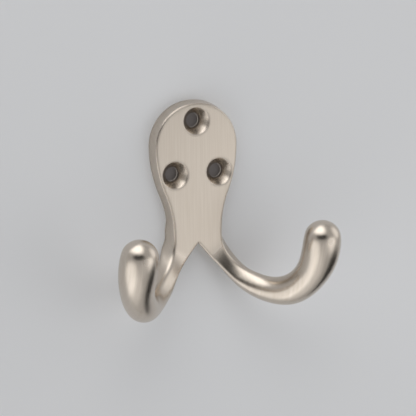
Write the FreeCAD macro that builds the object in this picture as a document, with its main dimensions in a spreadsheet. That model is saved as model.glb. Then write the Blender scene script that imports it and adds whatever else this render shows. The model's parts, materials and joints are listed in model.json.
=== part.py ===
import FreeCAD, Part
import math
import os

import Sketcher
from FreeCAD import Vector

# Double robe hook, one zinc casting: a pear-shaped wall plate with three countersunk
# screw holes, whose neck forks into two arms that sweep out, forward and up to round knobs.
# Millimetres and degrees. The wall is the plane y = 0, the front faces -Y, +Z is up, and
# the origin lies on the wall, midway between the two lower screws.

doc = FreeCAD.newDocument("double_robe_hook")
sizes = doc.addObject("Spreadsheet::Sheet", "sizes")

plate_sizes = {
    "plate_thick": 4.15,       # wall to front face
    "plate_top": 21.3,         # top of the front face
    "plate_half_width": 13.25,
    "crown_radius": 15.0,      # flatter arc over the top
    "crown_angle": 11.8,       # where the crown meets the shoulder, off the vertical
    "neck_radius": 32.0,       # hollow arc of the neck
    "waist_half_width": 7.77,
    "waist_height": -18.5,
    "neck_end": -13.0,         # height at which the arms take over from the plate
    "rim_flare": 0.7,          # how far the rim stands out at the wall
    "edge_radius": 0.45,       # front edge of the rim and of the notch
}
hole_sizes = {
    "bore_diameter": 4.5,      # clears a 4.2 mm wood screw
    "sink_diameter": 8.4,
    "sink_angle": 75,
    "lower_spacing": 14.4,
    "upper_height": 15.95,
}
fork_sizes = {
    "fork_height": -21.45,     # point of the notch between the arms
    "fork_half_angle": 39.7,   # each side of the notch, off the vertical
    "notch_relief": 0.75,      # how far the notch wall falls back towards the wall
    "notch_radius": 0.8,       # back edge of the notch
    "back_radius": 0.3,        # back edge of the outer wall
    "waist_lean": 1.5,         # lean of the outer wall at the waist
    "back_overlap": 0.4,       # how far the arm skin runs into the wall before it is cut flush
    "join_tolerance": 0.01,    # between the rim of the plate and that of the arms
}
knob_sizes = {
    "knob_reach": 29.4,        # knob centre from the middle of the plate
    "knob_projection": 28.9,   # knob centre from the wall
    "knob_rise": 2.95,         # knob centre above the fork
    "knob_diameter": 11.1,
}

# Stations of an arm, from the fork to the knob.
# Flat ones face the front: the way down the notch edge, the turn of the section, the width of
# its front, the lean of its outer wall, how far its back lifts off the wall and its front
# swells, and the rounding of its outer and inner sides, where 0 is crisp and 1 is an ellipse.
flat_columns = ("run", "turn", "width", "lean", "lift", "swell", "outer", "inner")
flat_stations = {
    "fork": (2.0, 20.0, 6.9, 1.75, 0.0, 0.0, 0.02, 0.0),
    "root": (6.2, 33.0, 5.1, 2.4, 0.0, 0.3, 0.12, 0.02),
    "arm": (10.6, 42.0, 3.6, 3.0, 1.2, 1.6, 0.32, 0.12),
}
# Free ones curve out of the plate. Their centres are shares of the knob's reach and projection,
# and a height above the fork; then come the width, depth and lean of the section, and the
# rounding as before.
free_columns = ("reach", "project", "up", "width", "depth", "lean", "outer", "inner")
free_stations = {
    "elbow": (0.474, 0.250, -11.75, 6.5, 5.8, 0.8, 0.75, 0.55),
    "bottom": (0.660, 0.422, -14.75, 7.8, 7.8, 0.0, 0.97, 0.92),
    "turn": (0.830, 0.633, -13.95, 9.3, 9.3, 0.0, 1.0, 1.0),
    "rise": (0.959, 0.820, -8.55, 10.1, 10.1, 0.0, 1.0, 1.0),
    "stem": (0.997, 0.920, -3.45, 11.1, 11.1, 0.0, 1.0, 1.0),
}

driving = dict(plate_sizes, **hole_sizes, **fork_sizes, **knob_sizes)
for stations, columns in ((flat_stations, flat_columns), (free_stations, free_columns)):
    for station, values in stations.items():
        driving.update({f"{station}_{column}": value for column, value in zip(columns, values)})
for row, (alias, value) in enumerate(driving.items(), start=1):
    sizes.set(f"A{row}", alias)
    sizes.set(f"B{row}", str(value))
    sizes.setAlias(f"B{row}", alias)
doc.recompute()


def size(alias):
    return float(sizes.get(alias))


def station_sizes(station, columns):
    return [size(f"{station}_{column}") for column in columns]


def origin_plane(body, role):
    return next(feature for feature in body.Origin.OriginFeatures if feature.Role == role)


# Centres of the arcs that make one half of the front outline, in sketch coordinates

thick = size("plate_thick")
crown_r = size("crown_radius")
neck_r = size("neck_radius")
half_width = size("plate_half_width")
waist_x = size("waist_half_width")
waist_z = size("waist_height")
neck_z = size("neck_end")

crown_c = Vector(0, size("plate_top") - crown_r, 0)
crown_tilt = math.radians(size("crown_angle"))
shoulder_r = (half_width - crown_r * math.sin(crown_tilt)) / (1 - math.sin(crown_tilt))
shoulder_c = crown_c + Vector(math.sin(crown_tilt), math.cos(crown_tilt), 0) * (crown_r - shoulder_r)
narrowing = half_width - waist_x
flank_drop = shoulder_c.y - waist_z
flank_r = (narrowing ** 2 + flank_drop ** 2) / (2 * narrowing) - neck_r
flank_c = Vector(half_width - flank_r, shoulder_c.y, 0)
neck_x = waist_x + neck_r
neck_c = Vector(neck_x, waist_z, 0)


def neck_edge_x(z, flare=0.0):
    return neck_x - math.sqrt((neck_r - flare) ** 2 - (z - waist_z) ** 2)


def angle_of(vector):
    return math.atan2(vector.y, vector.x)


def arc_between(centre, radius, low, high):
    return Part.ArcOfCircle(Part.Circle(centre, Vector(0, 0, 1), radius), low, high)


# Wall plate

plate = doc.addObject("PartDesign::Body", "plate")
start_point, end_point, centre_point = range(1, 4)
root_point = (-1, start_point)
horizontal_axis, vertical_axis = range(-1, -3, -1)


def front_sketch(name, depth):
    sketch = plate.newObject("Sketcher::SketchObject", name)
    sketch.AttachmentSupport = [(origin_plane(plate, "XZ_Plane"), "")]
    sketch.MapMode = "FlatFace"
    sketch.setExpression("AttachmentOffset.Base.z", depth)
    return sketch


def drive(sketch, constraint, expression):
    index = sketch.addConstraint(constraint)
    sketch.setExpression(f"Constraints[{index}]", expression)


def half_outline(name, depth, grow=0.0, flare=""):
    # The flare moves every arc outward about its own centre, so the joints stay tangent
    sketch = front_sketch(name, depth)
    plus, minus = (f" + {flare}", f" - {flare}") if flare else ("", "")
    hollow_r = neck_r - grow
    top = Vector(0, size("plate_top") + grow, 0)
    foot_outer = Vector(neck_edge_x(neck_z, grow), neck_z, 0)
    foot_inner = Vector(0, neck_z, 0)
    crown_joint = math.pi / 2 - crown_tilt
    flank_joint = angle_of(neck_c - flank_c)
    neck_joint = angle_of(flank_c - neck_c)
    neck_foot = angle_of(foot_outer - neck_c) % (2 * math.pi)

    crown = sketch.addGeometry(arc_between(crown_c, crown_r + grow, crown_joint, math.pi / 2))
    shoulder = sketch.addGeometry(arc_between(shoulder_c, shoulder_r + grow, 0, crown_joint))
    flank = sketch.addGeometry(arc_between(flank_c, flank_r + grow, flank_joint, 0))
    neck = sketch.addGeometry(arc_between(neck_c, hollow_r, neck_joint, neck_foot))
    foot = sketch.addGeometry(Part.LineSegment(foot_outer, foot_inner))
    axis = sketch.addGeometry(Part.LineSegment(foot_inner, top))
    sketch.addConstraint([
        Sketcher.Constraint("Tangent", crown, start_point, shoulder, end_point),
        Sketcher.Constraint("Tangent", shoulder, start_point, flank, end_point),
        Sketcher.Constraint("Tangent", flank, start_point, neck, start_point),
        Sketcher.Constraint("Coincident", neck, end_point, foot, start_point),
        Sketcher.Constraint("Coincident", foot, end_point, axis, start_point),
        Sketcher.Constraint("Coincident", axis, end_point, crown, end_point),
        Sketcher.Constraint("Horizontal", foot),
        Sketcher.Constraint("PointOnObject", axis, start_point, vertical_axis),
        Sketcher.Constraint("PointOnObject", axis, end_point, vertical_axis),
        Sketcher.Constraint("PointOnObject", crown, centre_point, vertical_axis),
        Sketcher.Constraint("Horizontal", shoulder, centre_point, flank, centre_point),
    ])
    drive(sketch, Sketcher.Constraint("Radius", crown, crown_r + grow), "sizes.crown_radius" + plus)
    drive(sketch, Sketcher.Constraint("DistanceX", *root_point, crown, start_point,
                                      (crown_r + grow) * math.sin(crown_tilt)),
          f"(sizes.crown_radius{plus}) * sin(sizes.crown_angle * 1 deg)")
    drive(sketch, Sketcher.Constraint("Radius", neck, hollow_r), "sizes.neck_radius" + minus)
    drive(sketch, Sketcher.Constraint("DistanceY", *root_point, crown, end_point, top.y),
          "sizes.plate_top" + plus)
    drive(sketch, Sketcher.Constraint("DistanceX", *root_point, shoulder, start_point, half_width + grow),
          "sizes.plate_half_width" + plus)
    drive(sketch, Sketcher.Constraint("DistanceX", *root_point, neck, centre_point, neck_x),
          "sizes.waist_half_width + sizes.neck_radius")
    drive(sketch, Sketcher.Constraint("DistanceY", *root_point, neck, centre_point, waist_z),
          "sizes.waist_height")
    drive(sketch, Sketcher.Constraint("DistanceY", *root_point, foot, start_point, neck_z),
          "sizes.neck_end")
    return sketch


slab = plate.newObject("PartDesign::AdditiveLoft", "slab")
slab.Profile = half_outline("wall_outline", "0", size("rim_flare"), "sizes.rim_flare")
slab.Sections = [half_outline("front_outline", "sizes.plate_thick")]
slab.Ruled = True
doc.recompute()


def curved_front_edges(shape):
    names = []
    for index, edge in enumerate(shape.Edges, start=1):
        box = edge.BoundBox
        in_front = math.isclose(box.YMax, -thick, abs_tol=edge.Tolerance)
        if in_front and edge.Curve.TypeId != "Part::GeomLine":
            names.append(f"Edge{index}")
    return names


soft_edge = plate.newObject("PartDesign::Fillet", "soft_edge")
soft_edge.Base = (slab, curved_front_edges(slab.Shape))
soft_edge.setExpression("Radius", "sizes.edge_radius")
doc.recompute()

both_sides = plate.newObject("PartDesign::Mirrored", "both_sides")
both_sides.Originals = [slab, soft_edge]
both_sides.MirrorPlane = (origin_plane(plate, "YZ_Plane"), [""])
plate.Tip = both_sides
doc.recompute()

# Screw holes

hole_points = front_sketch("hole_points", "sizes.plate_thick")
bore_r = size("bore_diameter") / 2
screw_x = size("lower_spacing") / 2
upper, right, left = [
    hole_points.addGeometry(Part.Circle(Vector(x, z, 0), Vector(0, 0, 1), bore_r))
    for x, z in ((0, size("upper_height")), (screw_x, 0), (-screw_x, 0))]
hole_points.addConstraint([
    Sketcher.Constraint("PointOnObject", upper, centre_point, vertical_axis),
    Sketcher.Constraint("PointOnObject", right, centre_point, horizontal_axis),
    Sketcher.Constraint("Symmetric", left, centre_point, right, centre_point, *root_point),
    Sketcher.Constraint("Equal", upper, right),
    Sketcher.Constraint("Equal", upper, left),
])
drive(hole_points, Sketcher.Constraint("Radius", upper, bore_r), "sizes.bore_diameter / 2")
drive(hole_points, Sketcher.Constraint("DistanceY", *root_point, upper, centre_point, size("upper_height")),
      "sizes.upper_height")
drive(hole_points, Sketcher.Constraint("DistanceX", *root_point, right, centre_point, screw_x),
      "sizes.lower_spacing / 2")
doc.recompute()

screw_holes = plate.newObject("PartDesign::Hole", "screw_holes")
screw_holes.Profile = hole_points
screw_holes.DepthType = "ThroughAll"
screw_holes.HoleCutType = "Countersink"
screw_holes.HoleCutCustomValues = True
screw_holes.setExpression("Diameter", "sizes.bore_diameter")
screw_holes.setExpression("HoleCutDiameter", "sizes.sink_diameter")
screw_holes.setExpression("HoleCutCountersinkAngle", "sizes.sink_angle")
doc.recompute()

# Cross-sections of the right arm. Each is a closed smooth curve of eight spans, four corners
# and four sides, given by a pair of poles about each joint; x is outward, y to the front.

corner_radii = {
    "outer_front": size("edge_radius"),
    "inner_front": size("edge_radius"),
    "inner_back": size("notch_radius"),
    "outer_back": size("back_radius"),
}
joints = 2 * len(corner_radii)
joint_turn = 2 * math.pi / joints
inner_poles = range(joints // 2, 3 * joints // 2)
front = Vector(0, -1, 0)
notch_angle = math.radians(size("fork_half_angle"))
notch_way = Vector(math.sin(notch_angle), 0, -math.cos(notch_angle))
fork_point = Vector(0, 0, size("fork_height"))


def arc_handle(turn):
    return 4 / 3 * math.tan(turn / 4)


def arc_poles(arrive, come, depart, leave):
    turn = come.getAngle(leave)
    radius = arrive.distanceToPoint(depart) / (2 * math.sin(turn / 2))
    handle = radius * arc_handle(turn)
    return [arrive - come * handle, arrive + come * handle, depart - leave * handle, depart + leave * handle]


def corner_poles(corner, before, after, radius):
    come = (corner - before).normalize()
    leave = (after - corner).normalize()
    reach = radius * math.tan(come.getAngle(leave) / 2)
    return arc_poles(corner - come * reach, come, corner + leave * reach, leave)


def plate_rim_poles():
    # The rounded front edge of the plate's right side where it ends at the neck
    foot = [edge for edge in plate.Shape.Edges if edge.CenterOfMass.x > 0
            and all(math.isclose(end.Z, neck_z, abs_tol=edge.Tolerance) for end in edge.Vertexes)]
    rim = min(foot, key=lambda edge: edge.Length)
    side_end, front_end = sorted(rim.ParameterRange, key=lambda step: rim.valueAt(step).y, reverse=True)
    arrive = rim.valueAt(side_end)
    depart = rim.valueAt(front_end)
    ways = [rim.tangentAt(side_end), rim.tangentAt(front_end)]
    come, leave = [way if way.dot(depart - arrive) > 0 else -way for way in ways]
    return arc_poles(arrive, come, depart, leave)


def ellipse_poles(half_wide, half_deep):
    poles = []
    for joint in range(joints):
        angle = (joint + 0.5) * joint_turn
        point = Vector(half_wide * math.cos(angle), half_deep * math.sin(angle), 0)
        along = Vector(-half_wide * math.sin(angle), half_deep * math.cos(angle), 0) * arc_handle(joint_turn)
        poles += [point - along, point + along]
    return poles


def section_poles(front_wide, back_inset, wide, deep, outer_round, inner_round):
    # A trapezium, widest at its outer back, eased towards the ellipse that it holds
    half = wide / 2
    corners = [Vector(front_wide - half, deep / 2, 0), Vector(-half, deep / 2, 0),
               Vector(back_inset - half, -deep / 2, 0), Vector(half, -deep / 2, 0)]
    crisp = []
    for index, radius in enumerate(corner_radii.values()):
        crisp += corner_poles(corners[index], corners[index - 1], corners[(index + 1) % len(corners)], radius)
    smooth = ellipse_poles(half, deep / 2)
    poles = []
    for index, (sharp, soft) in enumerate(zip(crisp, smooth)):
        share = inner_round if index in inner_poles else outer_round
        poles.append(sharp + (soft - sharp) * share)
    return poles


def placed(poles, centre, outward, facing):
    return [centre + outward * pole.x + facing * pole.y for pole in poles]


def flat_section(notch_edge, turn, width, lean, lift, swell, outer_round, inner_round):
    # Stands square to the wall, set off from a point of the notch edge
    outward = Vector(math.cos(turn), 0, math.sin(turn))
    deep = thick + swell - lift
    wide = width + lean
    centre = notch_edge + outward * (wide / 2) + front * (lift + deep / 2)
    poles = section_poles(width, size("notch_relief"), wide, deep, outer_round, inner_round)
    return centre, placed(poles, centre, outward, front)


# The outer wall keeps its lean where it runs on into the wall, so it meets the plate's rim

centres = []
rings = []
overlap = size("back_overlap")
overrun = (thick + overlap) / thick
neck_lean = neck_edge_x(neck_z, size("rim_flare")) - neck_edge_x(neck_z)
waist_step = (neck_z + fork_point.z) / 2
for z, lean in ((neck_z, neck_lean), (waist_step, size("waist_lean"))):
    notch_edge = fork_point + notch_way * ((z - fork_point.z) / notch_way.z)
    width = neck_edge_x(z) - notch_edge.x
    centre, ring = flat_section(notch_edge, 0, width, lean * overrun, -overlap, 0, 0, 0)
    centres.append(centre)
    rings.append(ring)
rim_poles = plate_rim_poles()
rings[0][:len(rim_poles)] = rim_poles
for station in flat_stations:
    run, turn, width, lean, lift, swell, outer_round, inner_round = station_sizes(station, flat_columns)
    centre, ring = flat_section(fork_point + notch_way * run, math.radians(turn), width, lean * overrun,
                                lift - overlap, swell, outer_round, inner_round)
    centres.append(centre)
    rings.append(ring)

free_start = len(centres)
ring_names = ["neck", "waist", *flat_stations, *free_stations, "knob"]
for station in free_stations:
    reach, project, up = station_sizes(station, ("reach", "project", "up"))
    centres.append(Vector(reach * size("knob_reach"), -project * size("knob_projection"), fork_point.z + up))
centres.append(Vector(size("knob_reach"), -size("knob_projection"), fork_point.z + size("knob_rise")))
steps = [0.0]
for near, far in zip(centres, centres[1:]):
    steps.append(steps[-1] + near.distanceToPoint(far))
path = Part.BSplineCurve()
path.interpolate(Points=centres, Parameters=steps)
ways = [path.tangent(step)[0] for step in steps]

# Past the plate the section follows the path without twisting
facing = front
knob_d = size("knob_diameter")
section_columns = ("width", "depth", "lean", "outer", "inner")
free_sections = [station_sizes(station, section_columns) for station in free_stations]
free_sections.append((knob_d, knob_d, 0, 1, 1))
for centre, way, section in zip(centres[free_start:], ways[free_start:], free_sections):
    width, depth, lean, outer_round, inner_round = section
    facing = (facing - way * facing.dot(way)).normalize()
    outward = facing.cross(way)
    poles = section_poles(width - lean, 0, width, depth, outer_round, inner_round)
    rings.append(placed(poles, centre, outward, facing))

# The knob ends in a dome, closed by a small flat at its pole
dome_angles = (25, 48, 68, 82, 87)
for angle in map(math.radians, dome_angles):
    ring_centre = centre + way * (knob_d / 2 * math.sin(angle))
    rings.append(placed([pole * math.cos(angle) for pole in poles], ring_centre, outward, facing))

# Skin through the sections: one smooth rib for each pole, which leaves the plate along its
# outline on the outer side and along the notch on the inner side. Down to the fork the ribs
# run level with the wall, so the front stays flat.

skin_steps = [0.0]
for near, far in zip(rings, rings[1:]):
    gaps = [a.distanceToPoint(b) for a, b in zip(near, far)]
    skin_steps.append(skin_steps[-1] + sum(gaps) / len(gaps))
neck_slope = (neck_z - waist_z) / (neck_x - neck_edge_x(neck_z))
outline_way = Vector(-neck_slope, 0, -1)
level = [index <= ring_names.index("fork") for index in range(len(rings))]
ribs = []
for column in range(2 * joints):
    points = [ring[column] for ring in rings]
    slopes = [notch_way / abs(notch_way.z) if column in inner_poles else outline_way]
    for before, after, start, end in zip(points, points[2:], skin_steps, skin_steps[2:]):
        slope = (after - before) / (end - start)
        slopes.append(Vector(slope.x, 0, slope.z))
    slopes.append(slopes[-1])
    rib = Part.BSplineCurve()
    rib.interpolate(Points=points, Parameters=skin_steps, Tangents=slopes, TangentFlags=level, Scale=False)
    ribs.append(rib)
skin = Part.BSplineSurface()
skin.buildFromPolesMultsKnots(
    [rib.getPoles() for rib in ribs], [2] * (joints + 1), ribs[0].getMultiplicities(),
    list(range(joints + 1)), ribs[0].getKnots(), True, False, ribs[0].Degree, ribs[0].Degree)

# The skin is one surface, cut into four strips around the arm and a few lengths along it
breaks = [ring_names.index(name) for name in ("neck", "arm", "bottom", "rise", "knob")] + [len(rings) - 1]
spans_per_strip = joints // len(corner_radii)
patches = []
for joint in range(0, joints, spans_per_strip):
    for low, high in zip(breaks, breaks[1:]):
        patch = skin.copy()
        patch.segment(joint, joint + spans_per_strip, skin_steps[low], skin_steps[high])
        patches.append(patch)
first_step, last_step = skin_steps[0], skin_steps[-1]
ends = []
for patch_row, step in ((patches[::len(breaks) - 1], first_step),
                        (patches[len(breaks) - 2::len(breaks) - 1], last_step)):
    rim = Part.Wire([patch.vIso(step).toShape() for patch in patch_row])
    ends.append(Part.Face(rim))
shell = Part.Shell([patch.toShape() for patch in patches] + ends)
shell.sewShape()
arm_skin = doc.addObject("Part::Feature", "arm_skin")
arm_skin.Shape = Part.Solid(shell)

# The arm keeps what lies right of the middle, below the neck and off the wall;
# the cut at the middle leaves the notch with a sharp point

room = "2 * (sizes.knob_reach + sizes.knob_diameter)"
right_side = doc.addObject("Part::Box", "right_side")
for side in ("Length", "Width", "Height"):
    right_side.setExpression(side, room)
right_side.setExpression("Placement.Base.y", f"-{room}")
right_side.setExpression("Placement.Base.z", f"sizes.neck_end - {room}")
right_arm = doc.addObject("Part::Common", "right_arm")
right_arm.Base = arm_skin
right_arm.Tool = right_side
left_arm = doc.addObject("Part::Mirroring", "left_arm")
left_arm.Source = right_arm
left_arm.Normal = Vector(1, 0, 0)
doc.recompute()

# The rounded rims of plate and arms meet end to end, so they are joined within a small tolerance
robe_hook = doc.addObject("Part::Feature", "robe_hook")
robe_hook.Label = "robe_hook"
arms = [right_arm.Shape, left_arm.Shape]
robe_hook.Shape = plate.Shape.multiFuse(arms, size("join_tolerance")).removeSplitter()
doc.recompute()

for item in doc.Objects:
    if "Invalid" in item.State or "Error" in item.State:
        raise RuntimeError(f"{item.Name} failed")
hook_shape = robe_hook.Shape
if hook_shape.isNull() or not hook_shape.isValid() or len(hook_shape.Solids) != 1:
    raise RuntimeError("the hook is not one valid solid")
os.makedirs("parts", exist_ok=True)
hook_shape.exportStep(f"parts/{robe_hook.Label}.step")
print(robe_hook.Label, round(hook_shape.Volume, 1), "mm3,", len(hook_shape.Faces), "faces")
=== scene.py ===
import json
import math

import bpy
from mathutils import Matrix, Vector

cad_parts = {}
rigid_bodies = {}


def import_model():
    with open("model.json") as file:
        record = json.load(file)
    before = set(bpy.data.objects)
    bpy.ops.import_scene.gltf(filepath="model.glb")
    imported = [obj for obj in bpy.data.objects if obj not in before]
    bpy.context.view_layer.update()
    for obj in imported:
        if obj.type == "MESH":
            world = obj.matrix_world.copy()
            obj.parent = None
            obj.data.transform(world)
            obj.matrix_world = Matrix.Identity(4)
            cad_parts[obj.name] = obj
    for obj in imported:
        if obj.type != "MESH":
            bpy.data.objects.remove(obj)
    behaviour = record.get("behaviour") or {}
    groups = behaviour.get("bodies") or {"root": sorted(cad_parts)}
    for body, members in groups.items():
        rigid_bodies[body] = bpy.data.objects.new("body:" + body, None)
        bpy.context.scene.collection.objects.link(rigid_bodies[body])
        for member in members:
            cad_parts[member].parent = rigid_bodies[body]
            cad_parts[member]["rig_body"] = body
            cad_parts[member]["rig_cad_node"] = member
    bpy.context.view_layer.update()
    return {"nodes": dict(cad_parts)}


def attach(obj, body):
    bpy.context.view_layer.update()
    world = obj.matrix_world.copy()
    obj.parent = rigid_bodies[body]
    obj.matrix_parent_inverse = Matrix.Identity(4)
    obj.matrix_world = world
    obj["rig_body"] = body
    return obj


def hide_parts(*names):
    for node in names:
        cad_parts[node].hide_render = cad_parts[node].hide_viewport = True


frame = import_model()
print("frame loaded:", sorted(frame["nodes"]))

mm = 0.001


def linearColour(hexCode):  # by the sRGB curve
    channels = [int(hexCode[start:start + 2], 16) / 255 for start in (1, 3, 5)]
    linear = [c / 12.92 if c <= 0.04045 else ((c + 0.055) / 1.055) ** 2.4 for c in channels]
    return (*linear, 1.0)


def addNode(tree, kind, settings=None, inputs=None):
    node = tree.nodes.new(kind)
    for name, value in (settings or {}).items():
        setattr(node, name, value)
    for socket, value in (inputs or {}).items():
        if isinstance(value, bpy.types.NodeSocket):
            tree.links.new(value, node.inputs[socket])
        else:
            node.inputs[socket].default_value = value
    return node


def newMaterial(name):
    material = bpy.data.materials.new(name)
    material.use_nodes = True
    material.node_tree.nodes.clear()
    return material, material.node_tree


# The finish: satin nickel plate, a warm grey that mirrors the studio softly. The flat front is
# brushed from top to bottom, which leaves fine streaks and a duller sheen. The real lines, about
# 0.05 mm, are too fine to show, so they are drawn coarser. Polishing has worn the edges soft.

nickel = {
    "darkStreak": "#cec3b6",
    "lightStreak": "#d5cbbf",
    "darkTo": 0.3,  # parts of the noise's range
    "lightFrom": 0.7,
    "streakWide": 0.25 * mm,
    "streakLong": 16 * mm,
    "streakDetail": 2.0,
    "roughness": 0.26,
    "brushedRoughness": 0.38,
    "brushedFrom": -0.985,  # how squarely the surface faces the front, which is -1
    "brushedFull": -0.998,
    "softEdge": 1.2 * mm,
    "edgeSamples": 6,
}


def satinNickel():
    material, tree = newMaterial("satinNickel")
    place = addNode(tree, "ShaderNodeTexCoord")
    facing = addNode(tree, "ShaderNodeSeparateXYZ", inputs={"Vector": place.outputs["Normal"]})
    gloss = addNode(tree, "ShaderNodeMapRange", {"interpolation_type": "SMOOTHSTEP"}, {
        "Value": facing.outputs["Y"],
        "From Min": nickel["brushedFrom"],
        "From Max": nickel["brushedFull"],
        "To Min": nickel["roughness"],
        "To Max": nickel["brushedRoughness"],
    })
    across, along = 1 / nickel["streakWide"], 1 / nickel["streakLong"]
    stretch = addNode(tree, "ShaderNodeMapping", inputs={
        "Vector": place.outputs["Object"],
        "Scale": (across, along, along),
    })
    streaks = addNode(tree, "ShaderNodeTexNoise", inputs={
        "Vector": stretch.outputs["Vector"],
        "Scale": 1.0,  # the mapping has scaled it already
        "Detail": nickel["streakDetail"],
    })
    tone = addNode(tree, "ShaderNodeValToRGB", inputs={"Fac": streaks.outputs["Fac"]})
    dark, light = tone.color_ramp.elements
    dark.position, dark.color = nickel["darkTo"], linearColour(nickel["darkStreak"])
    light.position, light.color = nickel["lightFrom"], linearColour(nickel["lightStreak"])
    edge = addNode(tree, "ShaderNodeBevel", {"samples": nickel["edgeSamples"]},
                   {"Radius": nickel["softEdge"]})
    metal = addNode(tree, "ShaderNodeBsdfPrincipled", inputs={
        "Base Color": tone.outputs["Color"],
        "Metallic": 1.0,
        "Roughness": gloss.outputs["Result"],
        "Normal": edge.outputs["Normal"],
    })
    addNode(tree, "ShaderNodeOutputMaterial", inputs={"Surface": metal.outputs["BSDF"]})
    return material


# The hook: the casting's own form, its facets welded so that the curves shade smoothly and the
# flats stay flat.

hookLook = {
    "weld": 0.002 * mm,
    "creaseAngle": math.radians(28),
}


def makeHook():
    hook = frame["nodes"]["robe_hook"].copy()
    hook.data = hook.data.copy()
    hook.name = "robeHook"
    for key in ("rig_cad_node", "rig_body"):  # the copy is a piece of its own
        del hook[key]
    hook.parent = None
    bpy.context.scene.collection.objects.link(hook)
    bpy.ops.object.select_all(action="DESELECT")
    hook.select_set(True)
    bpy.context.view_layer.objects.active = hook
    bpy.ops.object.mode_set(mode="EDIT")
    bpy.ops.mesh.select_all(action="SELECT")
    bpy.ops.mesh.customdata_custom_splitnormals_clear()
    bpy.ops.mesh.remove_doubles(threshold=hookLook["weld"])
    bpy.ops.object.mode_set(mode="OBJECT")
    bpy.ops.object.shade_smooth_by_angle(angle=hookLook["creaseAngle"])
    bpy.ops.object.modifier_add(type="WEIGHTED_NORMAL")
    hook.modifiers[-1].keep_sharp = True
    bpy.ops.object.modifier_apply(modifier=hook.modifiers[-1].name)
    hook.data.materials.clear()
    hook.data.materials.append(satinNickel())
    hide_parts("robe_hook")
    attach(hook, "root")
    print("hook:", len(hook.data.polygons), "faces")


makeHook()

# The stage: a pale, matt painted wall just behind the plate. A darker grey disc sits behind each
# screw bore as painted shade, the shade inside the bore. Its paint is clear from behind and for
# light that starts at the plate's own back, so that the back can be looked at too.

wall = {
    "colour": "#ecedef",
    # painted shade: the darker grey seen through each screw bore
    "boreShade": "#8e8a8a",
    "size": 280 * mm,
    "gap": 0.2 * mm,
    "touching": 0.5 * mm,
    "boreShadeRadius": 2.6 * mm,
    "screws": ((-7.2 * mm, 0), (7.2 * mm, 0), (0, 15.95 * mm)),
}


def coatPartlyClear(tree, colour, clearness):
    coat = addNode(tree, "ShaderNodeBsdfDiffuse", inputs={"Color": linearColour(colour)})
    clear = addNode(tree, "ShaderNodeBsdfTransparent")
    mix = addNode(tree, "ShaderNodeMixShader", inputs={
        0: clearness,
        1: coat.outputs["BSDF"],
        2: clear.outputs["BSDF"],
    })
    addNode(tree, "ShaderNodeOutputMaterial", inputs={"Surface": mix.outputs["Shader"]})


def wallPaint(name, colour):
    material, tree = newMaterial(name)
    side = addNode(tree, "ShaderNodeNewGeometry")
    ray = addNode(tree, "ShaderNodeLightPath")
    close = addNode(tree, "ShaderNodeMath", {"operation": "LESS_THAN"},
                    {0: ray.outputs["Ray Length"], 1: wall["touching"]})
    either = addNode(tree, "ShaderNodeMath", {"operation": "MAXIMUM"},
                     {0: side.outputs["Backfacing"], 1: close.outputs["Value"]})
    coatPartlyClear(tree, colour, either.outputs["Value"])
    return material


def makeWall():
    upright = (math.pi / 2, 0, 0)
    bpy.ops.mesh.primitive_plane_add(size=wall["size"], location=(0, wall["gap"], 0),
                                     rotation=upright)
    panel = bpy.context.object
    panel.name = "wall"
    panel.data.materials.append(wallPaint("paintedWall", wall["colour"]))
    # The discs are painted shade: a darker grey behind each screw bore, standing in for the shade
    # inside it.
    shadedPlaster = wallPaint("shadedPlaster", wall["boreShade"])
    for x, z in wall["screws"]:
        bpy.ops.mesh.primitive_circle_add(radius=wall["boreShadeRadius"], fill_type="NGON",
                                          location=(x, wall["gap"] / 2, z), rotation=upright)
        boreShade = bpy.context.object
        boreShade.name = "paintedBoreShade"
        boreShade.data.materials.append(shadedPlaster)
    print("wall drilled for", len(wall["screws"]), "screws")


makeWall()

# The camera: stands to the left and a little above, a long way off. Angles are in degrees, and
# azimuth is to the right of the front.

cameraView = {
    "azimuth": -24.0,
    "elevation": 10.75,
    "roll": -1.05,
    "distance": 600 * mm,
    "aimRight": 4.91 * mm,
    "aimUp": -11.06 * mm,
    "lens": 171.35,
    "sensor": 36,
}


def directionTo(azimuth, elevation):
    turn, rise = math.radians(azimuth), math.radians(elevation)
    return Vector((math.sin(turn) * math.cos(rise),
                   -math.cos(turn) * math.cos(rise),
                   math.sin(rise)))


def makeCamera():
    back = directionTo(cameraView["azimuth"], cameraView["elevation"])
    level = Vector((0, 0, 1)).cross(back).normalized()
    upright = back.cross(level)
    roll = math.radians(cameraView["roll"])
    right = level * math.cos(roll) + upright * math.sin(roll)
    up = upright * math.cos(roll) - level * math.sin(roll)
    place = (back * cameraView["distance"] + right * cameraView["aimRight"]
             + up * cameraView["aimUp"])
    turned = Matrix((right, up, back)).transposed().to_4x4()
    data = bpy.data.cameras.new("camera")
    data.lens = cameraView["lens"]
    data.sensor_width = cameraView["sensor"]
    camera = bpy.data.objects.new("camera", data)
    camera.matrix_world = Matrix.Translation(place) @ turned
    bpy.context.scene.collection.objects.link(camera)
    bpy.context.scene.camera = camera
    print("camera:", cameraView["lens"], "mm lens")


makeCamera()

# The light: a pale room with softboxes, named for where they stand, seen from the hook. Each is
# brightest over its middle and fades out towards its edge. The one behind lights the back alone.
# Sizes are in mm, and a fade runs over parts of a panel's side, from its middle.

hookMiddle = Vector((0, -15 * mm, -12 * mm))
panelMiddle = (0.5, 0.5, 0)

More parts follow.
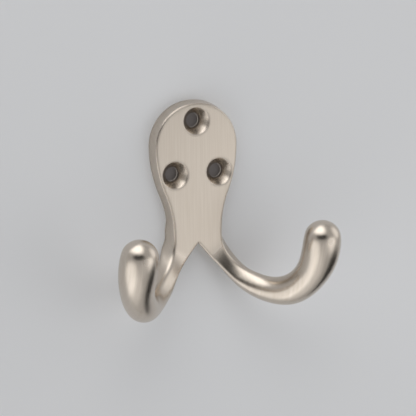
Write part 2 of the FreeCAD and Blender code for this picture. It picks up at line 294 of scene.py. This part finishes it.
lighting = {
    "room": "#b4b4b4",
    "fullTo": 0.2,
    "goneAt": 0.5,
    "softboxes": {
        "overhead": {"azimuth": -78, "elevation": 68, "distance": 350,
                     "width": 900, "height": 540, "brightness": 1.5},
        "right": {"azimuth": 78, "elevation": 20, "distance": 380,
                  "width": 400, "height": 440, "brightness": 0.65},
        "rightFront": {"azimuth": 37, "elevation": -14, "distance": 220,
                       "width": 270, "height": 240, "brightness": 0.8},
        "floor": {"azimuth": -4, "elevation": -34, "distance": 380,
                  "width": 420, "height": 320, "brightness": 0.15},
        "below": {"azimuth": -45, "elevation": -64, "distance": 380,
                  "width": 520, "height": 440, "brightness": 0.35},
        "leftLow": {"azimuth": -78, "elevation": -35, "distance": 380,
                    "width": 640, "height": 540, "brightness": 0.75},
        "behind": {"azimuth": 180, "elevation": -6, "distance": 240,
                   "width": 1300, "height": 800, "brightness": 0.2},
    },
}


def facingHook(panel):
    toward = directionTo(panel["azimuth"], panel["elevation"])
    place = hookMiddle + toward * (panel["distance"] * mm)
    return place, toward.to_track_quat("Z", "Y").to_euler()


def fadeFromMiddle(tree, spot, fade, middle, edge):
    offset = addNode(tree, "ShaderNodeVectorMath", {"operation": "DISTANCE"},
                     {0: spot, 1: panelMiddle})
    faded = addNode(tree, "ShaderNodeMapRange", {"interpolation_type": "SMOOTHSTEP"}, {
        "Value": offset.outputs["Value"],
        "From Min": fade["fullTo"],
        "From Max": fade["goneAt"],
        "To Min": middle,
        "To Max": edge,
    })
    return faded.outputs["Result"]


def makeLights():
    for name, box in lighting["softboxes"].items():
        data = bpy.data.lights.new(name, "AREA")
        data.shape = "RECTANGLE"
        data.size = box["width"] * mm
        data.size_y = box["height"] * mm
        data.energy = box["brightness"] * math.pi * data.size * data.size_y
        data.use_nodes = True
        tree = data.node_tree
        spot = addNode(tree, "ShaderNodeNewGeometry")
        glow = fadeFromMiddle(tree, spot.outputs["Parametric"], lighting, 1, 0)
        tree.links.new(glow, tree.nodes["Emission"].inputs["Strength"])
        lamp = bpy.data.objects.new(name, data)
        lamp.location, lamp.rotation_euler = facingHook(box)
        bpy.context.scene.collection.objects.link(lamp)
    world = bpy.data.worlds.new("room")
    world.use_nodes = True
    background = world.node_tree.nodes["Background"]
    background.inputs["Color"].default_value = linearColour(lighting["room"])
    bpy.context.scene.world = world
    print("softboxes:", len(lighting["softboxes"]))


makeLights()

# The dark cloths: black felt hung out of the picture, which gives the metal its dark streaks. The
# felt thins out towards its edges, so that the streaks end softly.

cloths = {
    "colour": "#1a1918",
    "fullTo": 0.28,
    "goneAt": 0.5,
    "sheets": {
        "clothBehindCamera": {"azimuth": -28, "elevation": 19, "distance": 760,
                              "width": 1350, "height": 640},
        "clothBelowRight": {"azimuth": 92, "elevation": -46, "distance": 440,
                            "width": 640, "height": 400},
    },
}


def hangCloths():
    material, tree = newMaterial("blackCloth")
    spot = addNode(tree, "ShaderNodeTexCoord")
    thin = fadeFromMiddle(tree, spot.outputs["UV"], cloths, 0, 1)
    coatPartlyClear(tree, cloths["colour"], thin)
    for name, sheet in cloths["sheets"].items():
        place, turn = facingHook(sheet)
        bpy.ops.mesh.primitive_plane_add(size=1, location=place, rotation=turn)
        panel = bpy.context.object
        panel.name = name
        panel.scale = (sheet["width"] * mm, sheet["height"] * mm, 1)
        panel.visible_camera = False
        panel.data.materials.append(material)
    print("dark cloths:", len(cloths["sheets"]))


hangCloths()

bpy.context.scene.view_settings.view_transform = "Standard"
